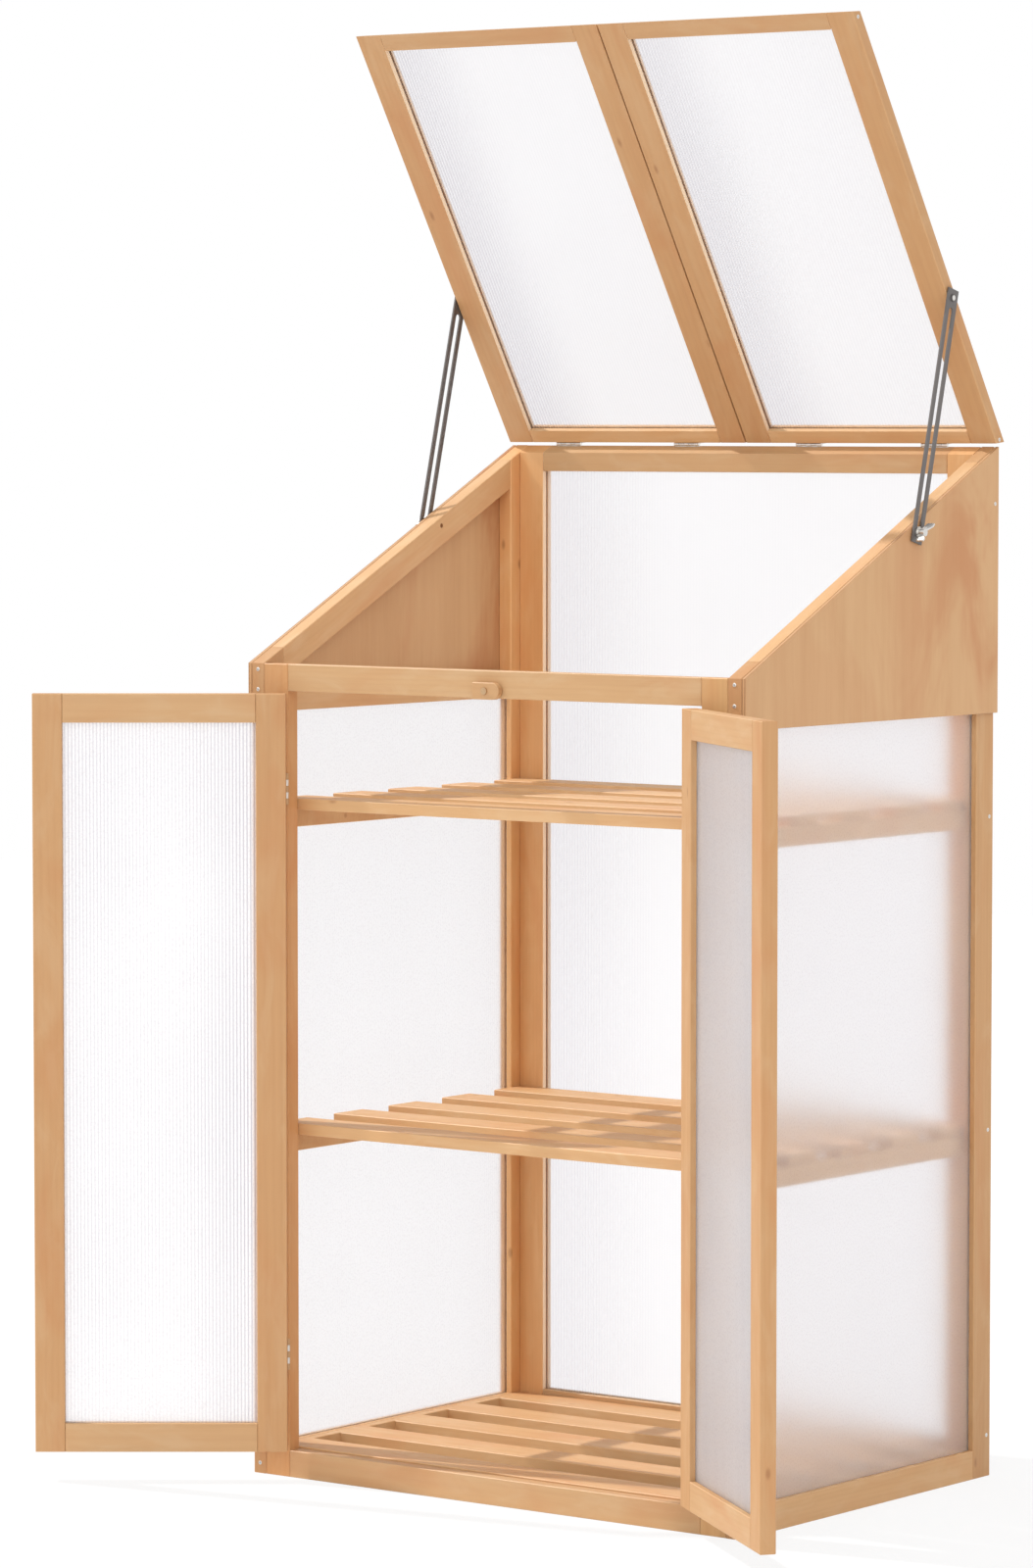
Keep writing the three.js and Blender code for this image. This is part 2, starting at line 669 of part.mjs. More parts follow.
function turnButton() {
  const half = buttonHeight / 2;
  const shape = new THREE.Shape();
  shape.moveTo(-buttonShortEnd, -half);
  shape.lineTo(buttonLongEnd - half, -half);
  shape.absarc(buttonLongEnd - half, 0, half, -Math.PI / 2, Math.PI / 2, false);
  shape.lineTo(-buttonShortEnd, half);
  const settings = {
    depth: buttonThickness - arris * 2,
    bevelThickness: arris,
    bevelSize: arris,
    bevelOffset: -arris,
    bevelSegments: 1,
    curveSegments: roundEndSides,
  };
  const block = new THREE.ExtrudeGeometry(shape, settings).translate(0, 0, arris);
  const backY = frontY - buttonGap;
  const bore = rod(buttonScrewRadius + boreSlack, buttonThickness * 2 + overrun, screwSides);
  const placed = upright(block, 0);
  const mesh = piece("turn_button", cut(placed, bore), "timber");
  mesh.position.set(0, backY, buttonZ);
  const headY = backY - buttonThickness - fit;
  const shankEnd = frontY + buttonScrewDepth - fit;
  const shank = rod(buttonScrewRadius, shankEnd - headY, screwSides);
  shank.translate(0, (shankEnd + headY) / 2, 0);
  const head = rod(buttonScrewHeadRadius, buttonScrewHeadHeight, screwSides);
  head.translate(0, headY - buttonScrewHeadHeight / 2 + fit / 2, 0);
  const screw = piece("turn_button_screw", join(shank, head), "brightSteel");
  screw.position.set(0, 0, buttonZ);
  return [mesh, screw];
}

const greenhouse = new THREE.Group();
for (const [side, word] of [[-1, "left"], [1, "right"]]) {
  greenhouse.add(...sideFrame(side, word));
  greenhouse.add(door(side, word), ...fixedDoorLeaves(side, word));
  greenhouse.add(lid(side, word), wingScrew(side, word));
}
greenhouse.add(...frontFrame(), ...backFrame(), ...fixedLidLeaves());
shelfNames.forEach((name, tier) => {
  greenhouse.add(shelf(name, bottomShelfTop + tier * shelfPitch));
});
greenhouse.add(...turnButton());

export default greenhouse;
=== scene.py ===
import json
import math
import random

import bmesh
import bpy
from mathutils import Matrix, Vector


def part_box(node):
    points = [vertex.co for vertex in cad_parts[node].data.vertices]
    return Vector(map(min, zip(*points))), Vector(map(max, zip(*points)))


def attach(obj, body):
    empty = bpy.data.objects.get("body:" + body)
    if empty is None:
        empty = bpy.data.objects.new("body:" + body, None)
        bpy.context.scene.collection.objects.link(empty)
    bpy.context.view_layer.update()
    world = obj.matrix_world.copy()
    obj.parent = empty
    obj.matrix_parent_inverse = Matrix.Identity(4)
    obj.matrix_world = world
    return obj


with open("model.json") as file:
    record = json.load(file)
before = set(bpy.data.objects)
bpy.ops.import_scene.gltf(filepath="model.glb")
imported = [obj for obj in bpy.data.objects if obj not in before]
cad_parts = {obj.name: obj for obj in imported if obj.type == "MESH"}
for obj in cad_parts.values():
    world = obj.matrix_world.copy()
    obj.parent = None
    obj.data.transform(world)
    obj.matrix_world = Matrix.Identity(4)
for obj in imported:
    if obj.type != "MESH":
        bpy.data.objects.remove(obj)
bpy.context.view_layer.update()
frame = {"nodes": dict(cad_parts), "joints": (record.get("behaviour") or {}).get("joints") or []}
scene = bpy.context.scene
nodes = frame["nodes"]
joints = {joint["name"]: joint for joint in frame["joints"]}
print("frame loaded:", len(nodes), "nodes")


# a place or a way in metres, from millimetres
def mm(*values):
    return Vector([value / 1000 for value in values])


upward = Vector((0, 0, 1))
rightward = Vector((1, 0, 0))
backward = Vector((0, 1, 0))
level = Matrix.Identity(3)


# an sRGB colour, 0 to 255, as a shader wants it
def tone(red, green, blue):
    return tuple(((c / 255 + 0.055) / 1.055) ** 2.4 for c in (red, green, blue))


# a shader socket that plain expressions can add, multiply and compare
class Flow:
    def __init__(self, kit, socket):
        self.kit = kit
        self.socket = socket

    def calc(self, operation, *values):
        sockets = dict(enumerate(values))
        return self.kit.node("Math", {"operation": operation}, sockets)

    def __add__(self, other):
        return self.calc("ADD", self, other)

    def __radd__(self, other):
        return self.calc("ADD", other, self)

    def __sub__(self, other):
        return self.calc("SUBTRACT", self, other)

    def __rsub__(self, other):
        return self.calc("SUBTRACT", other, self)

    def __mul__(self, other):
        return self.calc("MULTIPLY", self, other)

    def __rmul__(self, other):
        return self.calc("MULTIPLY", other, self)

    def __pow__(self, other):
        return self.calc("POWER", self, other)

    def __abs__(self):
        return self.calc("ABSOLUTE", self)

    # 0 to 1 and back once in each turn
    def wave(self):
        return 0.5 + 0.5 * self.calc("SINE", self)

    def either(self, other):
        return self.calc("MAXIMUM", self, other)

    # 0 below low and 1 above high, or the other way round, with a soft step between
    def step(self, low, high):
        sockets = {"Value": self, "From Min": low, "From Max": high}
        return self.kit.node("MapRange", {"interpolation_type": "SMOOTHSTEP"}, sockets)


# the nodes of one material, or of the world
class Kit:
    def __init__(self, owner):
        self.owner = owner
        owner.use_nodes = True
        self.tree = owner.node_tree
        self.tree.nodes.clear()

    # any node, from its type, its settings and the values or links of its sockets
    def node(self, kind, settings=None, sockets=None, out=0):
        node = self.tree.nodes.new("ShaderNode" + kind)
        for key, value in (settings or {}).items():
            setattr(node, key, value)
        for key, value in (sockets or {}).items():
            if isinstance(value, Flow):
                self.tree.links.new(value.socket, node.inputs[key])
            elif isinstance(value, (tuple, Vector)) and len(node.inputs[key].default_value) == 4:
                node.inputs[key].default_value = (*value, 1)
            else:
                node.inputs[key].default_value = value
        return Flow(self, node.outputs[out])

    # colour a where share is 0 and colour b where it is 1, through the node's colour sockets
    def mix(self, share, a, b):
        return self.node("Mix", {"data_type": "RGBA"}, {0: share, 6: a, 7: b}, out=2)

    # a point on the piece as it stands at rest
    def place(self):
        return self.node("TexCoord", out="Object")

    # the way that the surface looks at rest
    def facing(self):
        return self.node("TexCoord", out="Normal")

    # a point as seen from another origin and turn
    def seenFrom(self, place, origin, turn):
        sockets = {"Vector": place, "Location": origin, "Rotation": turn.to_euler()}
        return self.node("Mapping", {"vector_type": "TEXTURE"}, sockets)

    # x, y and z of a point
    def axes(self, place):
        parts = self.node("SeparateXYZ", None, {0: place}).socket.node.outputs
        return [Flow(self, part) for part in parts]

    def noise(self, place, scale, detail=2.0, rough=0.5, bend=0.0):
        sockets = {
            "Vector": place,
            "Scale": scale,
            "Detail": detail,
            "Roughness": rough,
            "Distortion": bend,
        }
        return self.node("TexNoise", None, sockets)

    def stretch(self, place, factors):
        return self.node("VectorMath", {"operation": "MULTIPLY"}, {0: place, 1: factors})

    # noise that repeats so often in a metre along each axis
    def drawnNoise(self, place, factors, detail=2.0, rough=0.5, bend=0.0):
        return self.noise(self.stretch(place, factors), 1.0, detail, rough, bend)

    def dot(self, a, b):
        return self.node("VectorMath", {"operation": "DOT_PRODUCT"}, {0: a, 1: b}, out="Value")

    def bump(self, strength, distance, height):
        return self.node("Bump", None, {"Strength": strength, "Distance": distance, "Height": height})

    # ends the material or the world with this shader
    def show(self, shader, kind="Material"):
        output = self.tree.nodes.new("ShaderNodeOutput" + kind)
        self.tree.links.new(shader.socket, output.inputs["Surface"])
        return self.owner


def newKit(name):
    return Kit(bpy.data.materials.new(name))


# the turn that lays a material's first axis along one direction and its second along another
def layAlong(first, second):
    first = first.normalized()
    second = second.normalized()
    return Matrix((first, second, first.cross(second))).transposed()


# wood

# each share is how strongly a pattern colours the wood, and relief is how deep it is, in metres
woodLook = {
    "light": tone(194, 151, 106),
    "dark": tone(169, 122, 79),
    "red": tone(187, 130, 84),
    "pale": tone(197, 160, 120),
    "knot": tone(146, 96, 58),
    # the lighter tone on the chamfered edges is a painted highlight, as if the edges catch the light
    "arris": tone(212, 173, 128),
    # the pale tone on the edges beside the panels is painted light, set against their shade
    "revealLift": tone(250, 222, 190),
    "ringShare": 0.09,
    "streakShare": 0.15,
    "fibreShare": 0.1,
    "paleShare": 0.55,
    "blotchShare": 0.5,
    "knotShare": 0.6,
    "arrisShare": 0.3,
    "endShare": 0.3,
    "revealLiftShare": 0.85,
    "roughness": 0.46,
    "streakRoughness": 0.14,
    "endRoughness": 0.15,
    "bump": 0.35,
    "fibreRelief": 0.6,
    "ringRelief": 0.4,
    "relief": 0.00012,
    "ior": 1.42,
}

# how often each pattern repeats in a metre along the grain, across it and through the piece, and
# between which values it fades in. In metres: ring is how far apart the rings lie, pithDepth how
# far beside the piece their middle is, wanderReach how far they wander, and spread how far about in
# the pattern the pieces are cut.
grainLook = {
    "ring": 0.0052,
    "ringSharpness": 2.2,
    "pithDepth": (0.015, 0.06),
    "wander": (1.6, 7.0, 7.0),
    "wanderReach": 0.016,
    "streaks": (2.2, 95.0, 95.0),
    "streakFade": (0.34, 0.72),
    "fibres": (26.0, 900.0, 900.0),
    "fibreFade": (0.3, 0.8),
    "blotches": (6.0, 16.0, 16.0),
    "blotchFade": (0.46, 0.76),
    "mottles": (11.0, 40.0, 40.0),
    "mottleFade": (0.42, 0.7),
    "knots": (8.0, 18.0, 18.0),
    "knotFade": (0.075, 0.02),
    "arrisFade": (0.95, 0.8),
    "endFade": (0.85, 0.95),
    "spread": 4,
}


# the same wood with its red, green and blue raised or lowered
def tinted(look, *factors):
    shades = {}
    for key in ("light", "dark", "red", "pale", "arris"):
        shades[key] = tuple(value * factor for value, factor in zip(look[key], factors))
    return dict(look, **shades)


# the timbers that the photo shows lighter, darker or warmer than the rest. The last three are also
# painted light: copies lightened to lift the pieces inside the cabinet and near the floor out of
# their shade
railLook = tinted(woodLook, 1.04, 1.09, 1.13)
stileLook = tinted(woodLook, 0.99, 0.96, 0.92)
frontLeftLook = tinted(woodLook, 1.08, 0.97, 0.84)
frontRightLook = tinted(woodLook, 1.13, 1.15, 1.06)
innerShadeLiftLook = tinted(woodLook, 1.3, 1.24, 1.12)
rearPostShadeLiftLook = tinted(woodLook, 1.4, 1.38, 1.28)
shelfShadeLiftLook = tinted(woodLook, 1.18, 1.22, 1.24)


def pieceCentre(name):
    low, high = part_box(name)
    return (Vector(low) + Vector(high)) / 2


# rings round a pith beside the piece, and noises drawn out along the grain
def woodGrain(kit, name, turn):
    grain = grainLook
    dice = random.Random(name)
    start = Vector([dice.uniform(-grain["spread"], grain["spread"]) for _ in range(3)])
    local = kit.seenFrom(kit.place(), start, turn)
    across, through = kit.axes(local)[1:]
    wander = kit.drawnNoise(local, grain["wander"])
    pith = [dice.uniform(*grain["pithDepth"]) * dice.choice((-1, 1)) for _ in range(2)]
    centre = turn.transposed() @ (pieceCentre(name) - start)
    dx = across - (centre.y + pith[0])
    dy = through - (centre.z + pith[1])
    radius = (dx * dx + dy * dy) ** 0.5 + wander * grain["wanderReach"]
    rings = (radius * (2 * math.pi / grain["ring"])).wave() ** grain["ringSharpness"]
    streaks = kit.drawnNoise(local, grain["streaks"], detail=3.0, rough=0.6, bend=0.3)
    fibres = kit.drawnNoise(local, grain["fibres"], rough=0.6)
    blotches = kit.drawnNoise(local, grain["blotches"], rough=0.55, bend=0.6)
    mottles = kit.drawnNoise(local, grain["mottles"], detail=3.0, rough=0.6, bend=0.9)
    cells = {"Vector": kit.stretch(local, grain["knots"]), "Scale": 1.0}
    knots = kit.node("TexVoronoi", None, cells).step(*grain["knotFade"])
    return rings, streaks, fibres, blotches, mottles, knots


# steelPart gives a mask of the steel leaf that is one solid with the timber, and revealLiftWay is the
# way that the edge beside a panel looks; that edge is painted paler, painted light that lifts it out
# of its shade
def timber(name, turn, look, steelPart, revealLiftWay):
    kit = newKit(name + "Timber")
    grain = grainLook
    rings, streaks, fibres, blotches, mottles, knots = woodGrain(kit, name, turn)
    shade = rings * look["ringShare"]
    shade = shade + streaks.step(*grain["streakFade"]) * look["streakShare"]
    shade = shade + fibres.step(*grain["fibreFade"]) * look["fibreShare"]
    colour = kit.mix(shade, look["light"], look["dark"])
    colour = kit.mix(mottles.step(*grain["mottleFade"]) * look["paleShare"], colour, look["pale"])
    colour = kit.mix(blotches.step(*grain["blotchFade"]) * look["blotchShare"], colour, look["red"])
    colour = kit.mix(knots * look["knotShare"], colour, look["knot"])
    facing = kit.facing()
    faces = [abs(kit.dot(facing, turn.col[index])) for index in range(3)]
    # painted highlight: the chamfered edges, which face along no axis of the piece, are lightened as
    # if catching the light
    arris = faces[0].either(faces[1]).either(faces[2]).step(*grain["arrisFade"])
    colour = kit.mix(arris * look["arrisShare"], colour, look["arris"])
    endGrain = faces[0].step(*grain["endFade"])
    colour = kit.mix(endGrain * look["endShare"], colour, look["dark"])
    # painted light: the edges that look towards a panel are lightened to take out their shade
    if revealLiftWay:
        revealLift = kit.dot(facing, revealLiftWay).step(*grain["endFade"])
        colour = kit.mix(revealLift * look["revealLiftShare"], colour, look["revealLift"])
    roughness = look["roughness"] + streaks * look["streakRoughness"]
    roughness = roughness + endGrain * look["endRoughness"]
    height = fibres * look["fibreRelief"] + rings * look["ringRelief"]
    sockets = {
        "Base Color": colour,
        "Roughness": roughness,
        "Normal": kit.bump(look["bump"], look["relief"], height),
        "IOR": look["ior"],
    }
    if steelPart:
        mask = steelPart(kit)
        sockets["Base Color"] = kit.mix(mask, colour, steelLook["colour"])
        sockets["Roughness"] = roughness + mask * (steelLook["roughness"] - look["roughness"])
        sockets["Metallic"] = mask
    return kit.show(kit.node("BsdfPrincipled", None, sockets))


# shift moves the pattern from one cheek to the other, rear is where the reddish clouds come in, and
# the plies are counted from face, all in metres
plywoodLook = {
    "light": tone(202, 160, 116),
    "dark": tone(180, 133, 88),
    "red": tone(176, 106, 60),
    "ply": tone(150, 104, 66),
    "shift": (0.0, 0.37, 0.21),
    "broad": (16.0, 16.0, 1.8),
    "broadFade": (0.35, 0.7),
    "broadShare": 0.2,
    "streaks": (85.0, 85.0, 3.2),
    "streakFade": (0.36, 0.72),
    "streakShare": 0.14,
    "fibres": (900.0, 900.0, 24.0),
    "fibreFade": (0.3, 0.8),
    "fibreShare": 0.14,
    "clouds": (5.0, 8.0, 3.2),
    "cloudFade": (0.42, 0.62),
    "cloudShare": 0.12,
    "rearCloudShare": 0.48,
    "rear": (0.18, 0.5),
    "face": 0.344,
    "plyPitch": 0.0038,
    "plyFade": (0.4, 0.7),
    "plyShare": 0.75,
    "edgeFade": (0.5, 0.3),
    "roughness": 0.5,
    "streakRoughness": 0.12,
    "bump": 0.3,
    "streakRelief": 0.5,
    "relief": 0.00012,
    "ior": 1.42,
}


# rotary-cut face with broad figure, reddish clouds towards the rear, and plies on the edges
def plywood(name, side):
    kit = newKit(name + "Plywood")
    look = plywoodLook
    place = kit.place()
    shift = Vector(look["shift"]) * side
    local = kit.seenFrom(place, shift, level)
    broad = kit.drawnNoise(local, look["broad"], bend=0.5).step(*look["broadFade"])
    streaks = kit.drawnNoise(local, look["streaks"], detail=3.0, rough=0.6, bend=0.3)
    fibres = kit.drawnNoise(local, look["fibres"], rough=0.6)
    clouds = kit.drawnNoise(local, look["clouds"], detail=4.0, rough=0.6, bend=0.8)
    shade = broad * look["broadShare"]
    shade = shade + streaks.step(*look["streakFade"]) * look["streakShare"]
    shade = shade + fibres.step(*look["fibreFade"]) * look["fibreShare"]
    colour = kit.mix(shade, look["light"], look["dark"])
    x, y = kit.axes(place)[:2]
    share = look["cloudShare"] + y.step(*look["rear"]) * look["rearCloudShare"]
    colour = kit.mix(clouds.step(*look["cloudFade"]) * share, colour, look["red"])
    onEdge = abs(kit.dot(kit.facing(), rightward)).step(*look["edgeFade"])
    plies = ((abs(x) - look["face"]) * (2 * math.pi / look["plyPitch"])).wave()
    onPly = onEdge * plies.step(*look["plyFade"])
    colour = kit.mix(onPly * look["plyShare"], colour, look["ply"])
    height = fibres + streaks * look["streakRelief"]
    sockets = {
        "Base Color": colour,
        "Roughness": look["roughness"] + streaks * look["streakRoughness"],
        "Normal": kit.bump(look["bump"], look["relief"], height),
        "IOR": look["ior"],
    }
    return kit.show(kit.node("BsdfPrincipled", None, sockets))


# metals

steelLook = {"colour": tone(226, 223, 218), "spangle": tone(196, 194, 192), "roughness": 0.3}
paleLook = {"colour": tone(243, 241, 237), "spangle": tone(228, 226, 222), "roughness": 0.36}
dullLook = {"colour": tone(208, 176, 138), "spangle": tone(182, 148, 112), "roughness": 0.5}

# the zinc coat's crystals and its upright scuffs, by how often they repeat in a metre
zincLook = {
    "spangles": 420.0,
    "spangleFade": (0.35, 0.7),
    "spangleShare": 0.35,
    "scuffs": (300.0, 300.0, 40.0),
    "scuffRoughness": 0.18,
    "polish": 0.06,
    "bump": 0.15,
    "relief": 0.00005,
}

# inside is how far from the cabinet's middle the hidden length of a wing screw ends, in metres
shankLook = {"colour": tone(150, 108, 74), "roughness": 0.6, "inside": 0.3438, "blur": 0.0001}


# a wing screw is dull where it lies in the timber, and so is its end, which shows inside
def shankMask(kit, place):
    inside = shankLook["inside"]
    return abs(kit.axes(place)[0]).step(inside + shankLook["blur"], inside)


def zincSteel(name, look, shank=False):
    kit = newKit(name)
    coat = zincLook
    place = kit.place()
    spangles = kit.noise(place, coat["spangles"], detail=3.0, rough=0.6)
    scuffs = kit.drawnNoise(place, coat["scuffs"], detail=3.0, rough=0.7)
    share = spangles.step(*coat["spangleFade"]) * coat["spangleShare"]
    colour = kit.mix(share, look["colour"], look["spangle"])
    roughness = look["roughness"] - coat["polish"] + scuffs * coat["scuffRoughness"]
    if shank:
        mask = shankMask(kit, place)
        colour = kit.mix(mask, colour, shankLook["colour"])
        roughness = roughness + mask * (shankLook["roughness"] - look["roughness"])
    sockets = {
        "Base Color": colour,
        "Roughness": roughness,
        "Normal": kit.bump(coat["bump"], coat["relief"], scuffs),
        "Metallic": 1.0,
    }
    return kit.show(kit.node("BsdfPrincipled", None, sockets))


# dark coated steel, rubbed in places. rivet is the radius of the bright rivet, in metres.
coatedLook = {
    "colour": tone(112, 107, 105),
    "worn": tone(152, 146, 142),
    "grain": 1400.0,
    "rubs": (60.0, 60.0, 25.0),
    "rubFade": (0.62, 0.8),
    "rubShare": 0.45,
    "roughness": 0.42,
    "grainRoughness": 0.14,
    "rubPolish": 0.1,
    "rivetPolish": 0.15,
    "metallic": 0.55,
    "rivet": 0.0029,
    "rivetBlur": 0.1,
    "bump": 0.2,
    "relief": 0.00006,
}


# pivot is the middle of the rivet that the stay turns on
def coatedSteel(name, pivot):
    kit = newKit(name)
    look = coatedLook
    place = kit.place()
    y, z = kit.axes(place)[1:]
    dy = y - pivot[1]
    dz = z - pivot[2]
    blur = look["rivet"] * look["rivetBlur"]
    rivet = ((dy * dy + dz * dz) ** 0.5).step(look["rivet"] + blur, look["rivet"] - blur)
    grain = kit.noise(place, look["grain"], rough=0.6)
    rubs = kit.drawnNoise(place, look["rubs"], detail=4.0, rough=0.65, bend=0.4)
    worn = rubs.step(*look["rubFade"])
    colour = kit.mix(worn * look["rubShare"], look["colour"], look["worn"])
    colour = kit.mix(rivet, colour, steelLook["colour"])
    roughness = look["roughness"] + grain * look["grainRoughness"]
    roughness = roughness - worn * look["rubPolish"] - rivet * look["rivetPolish"]
    sockets = {
        "Base Color": colour,
        "Roughness": roughness,
        "Normal": kit.bump(look["bump"], look["relief"], grain),
        "Metallic": look["metallic"] + rivet * (1 - look["metallic"]),
    }
    return kit.show(kit.node("BsdfPrincipled", None, sockets))


# twin-wall sheet: frosted skins with fine ribs between them

# the ribs show as lines in the skins, in full on the inner face and by farShare on the outer one; the
# lines are partly the ribs' joins to the skin and partly painted shade of the ribs seen at an angle
sheetLook = {
    "skin": tone(255, 254, 255),
    "line": tone(198, 194, 202),
    "speck": tone(206, 202, 206),
    "dust": tone(238, 234, 236),
    "lineSharpness": 3,
    "farShare": 0.2,
    "nearFade": (-0.1, 0.1),
    "patchNoise": 3.2,
    "patchFade": (0.2, 0.7),
    "patchLeast": 0.4,
    "speckNoise": 430.0,
    "speckFade": (0.5, 0.6),
    "dustNoise": 6.0,
    "dustFade": (0.5, 0.8),
    "dustShare": 0.1,
    "frostNoise": 900.0,
    "frostRoughness": 0.1,
    "relief": 0.0001,
    "ior": 1.2,
}

# even, first and last are how strongly the lines show over the whole sheet and at its first and last
# rib, reach is how far in from those they fade, in metres, and through is how clear it is. The
# stronger lines by the first and last rib are painted shade, standing in for the ribs' shading seen
# at an angle
panelLooks = {
    "back": {
        "even": 0.06, "first": 0.78, "last": 0.0, "reach": 0.21,
        "specks": 0.01, "through": 0.98, "roughness": 0.26, "frost": 0.0,
    },
    "door": {
        "even": 0.4, "first": 0.5, "last": 0.1, "reach": 0.1,
        "specks": 0.3, "through": 0.74, "roughness": 0.3, "frost": 0.15,
    },
    "lid": {
        "even": 0.2, "first": 0.95, "last": 0.05, "reach": 0.13,
        "specks": 0.02, "through": 0.98, "roughness": 0.26, "frost": 0.0,
    },
    "left": {
        "even": 0.08, "first": 0.0, "last": 0.1, "reach": 0.1,
        "specks": 0.3, "through": 0.98, "roughness": 0.34, "frost": 0.25,
    },
    "right": {
        "even": 0.04, "first": 0.0, "last": 0.1, "reach": 0.1,
        "specks": 0.26, "through": 0.91, "roughness": 0.34, "frost": 0.25,
    },
}

# share is how much of a rib is seen. The pitch, thickness and skin are in mm.
ribLook = {
    "colour": tone(226, 222, 230),
    "share": 0.05,
    "cloudNoise": 60.0,
    "cloudShare": 0.4,
    "roughness": 0.4,
    "pitch": 4.08,
    "thickness": 0.35,
    "skin": 0.5,
}


# the sheets let light into the cabinet, so they are clear to shadow rays and to diffuse ones
def clearToLight(kit, solid):
    clear = kit.node("BsdfTransparent")
    isShadow = kit.node("LightPath", out="Is Shadow Ray")
    isDiffuse = kit.node("LightPath", out="Is Diffuse Ray")
    sockets = {0: isShadow.either(isDiffuse), 1: solid, 2: clear}
    return kit.show(kit.node("MixShader", None, sockets))


# the ribs are counted along countWay, where the end ones lie at first and last, and the inner face
# looks along faceWay
def frostedSkin(name, use, faceWay, countWay, first, last):
    look = sheetLook
    kit = newKit(name + "Frosted")
    place = kit.place()
    along = kit.dot(place, countWay)
    turns = 2 * math.pi / (ribLook["pitch"] / 1000)
    lines = ((along - first) * turns + math.pi / 2).wave() ** look["lineSharpness"]
    patches = kit.noise(place, look["patchNoise"]).step(*look["patchFade"])
    # painted shade: the lines are strongest by the first and last rib and fade inwards
    show = along.step(first + use["reach"], first) * use["first"]
    show = show + along.step(last - use["reach"], last) * use["last"]
    show = show + (look["patchLeast"] + patches) * use["even"]
    isNear = kit.dot(kit.facing(), faceWay).step(*look["nearFade"])
    lines = lines * show * (look["farShare"] + isNear * (1 - look["farShare"]))
    specks = kit.noise(place, look["speckNoise"], rough=0.7)
    frost = kit.noise(place, look["frostNoise"], rough=0.6)
    dust = kit.noise(place, look["dustNoise"], detail=3.0, rough=0.6)
    colour = kit.mix(lines, look["skin"], look["line"])
    colour = kit.mix(specks.step(*look["speckFade"]) * use["specks"], colour, look["speck"])
    colour = kit.mix(dust.step(*look["dustFade"]) * look["dustShare"], colour, look["dust"])
    sockets = {
        "Base Color": colour,
        "Roughness": use["roughness"] + frost * look["frostRoughness"],
        "IOR": look["ior"],
        "Transmission Weight": use["through"],
    }
    if use["frost"]:
        sockets["Normal"] = kit.bump(use["frost"], look["relief"], frost)
    return clearToLight(kit, kit.node("BsdfPrincipled", None, sockets))


def ribPlastic():
    look = ribLook
    kit = newKit("sheetRib")
    clouds = kit.noise(kit.place(), look["cloudNoise"])
    colour = kit.mix(clouds * look["cloudShare"], look["colour"], sheetLook["skin"])
    sockets = {"Base Color": colour, "Roughness": look["roughness"], "Alpha": look["share"]}
    return clearToLight(kit, kit.node("BsdfPrincipled", None, sockets))


print("finishes ready")

# camera, floor and light

# the angles are in degrees, the lens and sensor in mm, and farthest is in metres
camera = {
    "place": mm(4024.7, -5214.8, 1218.6),
    "tilt": 86.46,
    "azimuth": 37.441,
    "lens": 135.77,
    "sensor": 36,
    "farthest": 100,
}


def makeCamera():
    data = bpy.data.cameras.new("camera")
    data.lens = camera["lens"]
    data.sensor_width = camera["sensor"]
    data.clip_end = camera["farthest"]
    view = bpy.data.objects.new("camera", data)
    view.location = camera["place"]
    view.rotation_euler = (math.radians(camera["tilt"]), 0, math.radians(camera["azimuth"]))
    scene.collection.objects.link(view)
    scene.camera = view


# a sharp sun and a broad soft lamp, each by its strength, where it comes from, and how wide it
# looks in degrees, on a floor so many metres wide
studio = {
    "ambient": 0.83,
    "sun": 2.5,
    "sunFrom": Vector((-0.634, -0.118, 0.764)),
    "sunAngle": 1.2,
    "fill": 0.65,
    "fillFrom": Vector((0.5, -0.72, 0.48)),
    "fillAngle": 60,
    "white": (1.0, 1.0, 1.0),
    "floorSize": 14,
    "floorGrey": (0.9, 0.9, 0.9),
    "floorWhite": 0.84,
}


# 1 on what the camera sees, also in a reflection or through a sheet, and 0 on what lights the part
def seenDirectly(kit):
    kinds = ("Camera", "Glossy", "Transmission")
    isCamera, isGlossy, isThrough = [kit.node("LightPath", out=f"Is {kind} Ray") for kind in kinds]
    return isCamera.either(isGlossy).either(isThrough)


def makeSky():
    world = bpy.data.worlds.new("studio")
    scene.world = world
    kit = Kit(world)
    strength = studio["ambient"] + seenDirectly(kit) * (1 - studio["ambient"])
    sockets = {"Color": studio["white"], "Strength": strength}
    kit.show(kit.node("Background", None, sockets), "World")


def makeLamp(name):
    lamp = bpy.data.lights.new(name, "SUN")
    lamp.energy = studio[name]
    lamp.angle = math.radians(studio[name + "Angle"])
    light = bpy.data.objects.new(name, lamp)
    light.rotation_euler = studio[name + "From"].to_track_quat("Z", "Y").to_euler()
    scene.collection.objects.link(light)
    return light


def makeFloor():
    half = studio["floorSize"] / 2
    corners = [(-half, -half, 0), (half, -half, 0), (half, half, 0), (-half, half, 0)]
    mesh = bpy.data.meshes.new("floor")
    mesh.from_pydata(corners, [], [(0, 1, 2, 3)])
    kit = newKit("paleFloor")
    matt = kit.node("BsdfDiffuse", None, {"Color": studio["floorGrey"]})
    glow = kit.node("Emission", None, {"Color": studio["white"], "Strength": 1.0})
    share = seenDirectly(kit) * studio["floorWhite"]
    mesh.materials.append(kit.show(kit.node("MixShader", None, {0: share, 1: matt, 2: glow})))
    floor = bpy.data.objects.new("floor", mesh)
    scene.collection.objects.link(floor)


scene.view_settings.view_transform = "Standard"
makeCamera()
makeSky()
sun = makeLamp("sun")
makeLamp("fill")
makeFloor()
print("camera, floor and light placed")

# how the pieces lie at rest, in degrees: how far each door and lid stands open, and the slope that
# the lids shut on
pose = {"door": 142.5, "lidSlope": 26.38, "lidOpen": 84.4}

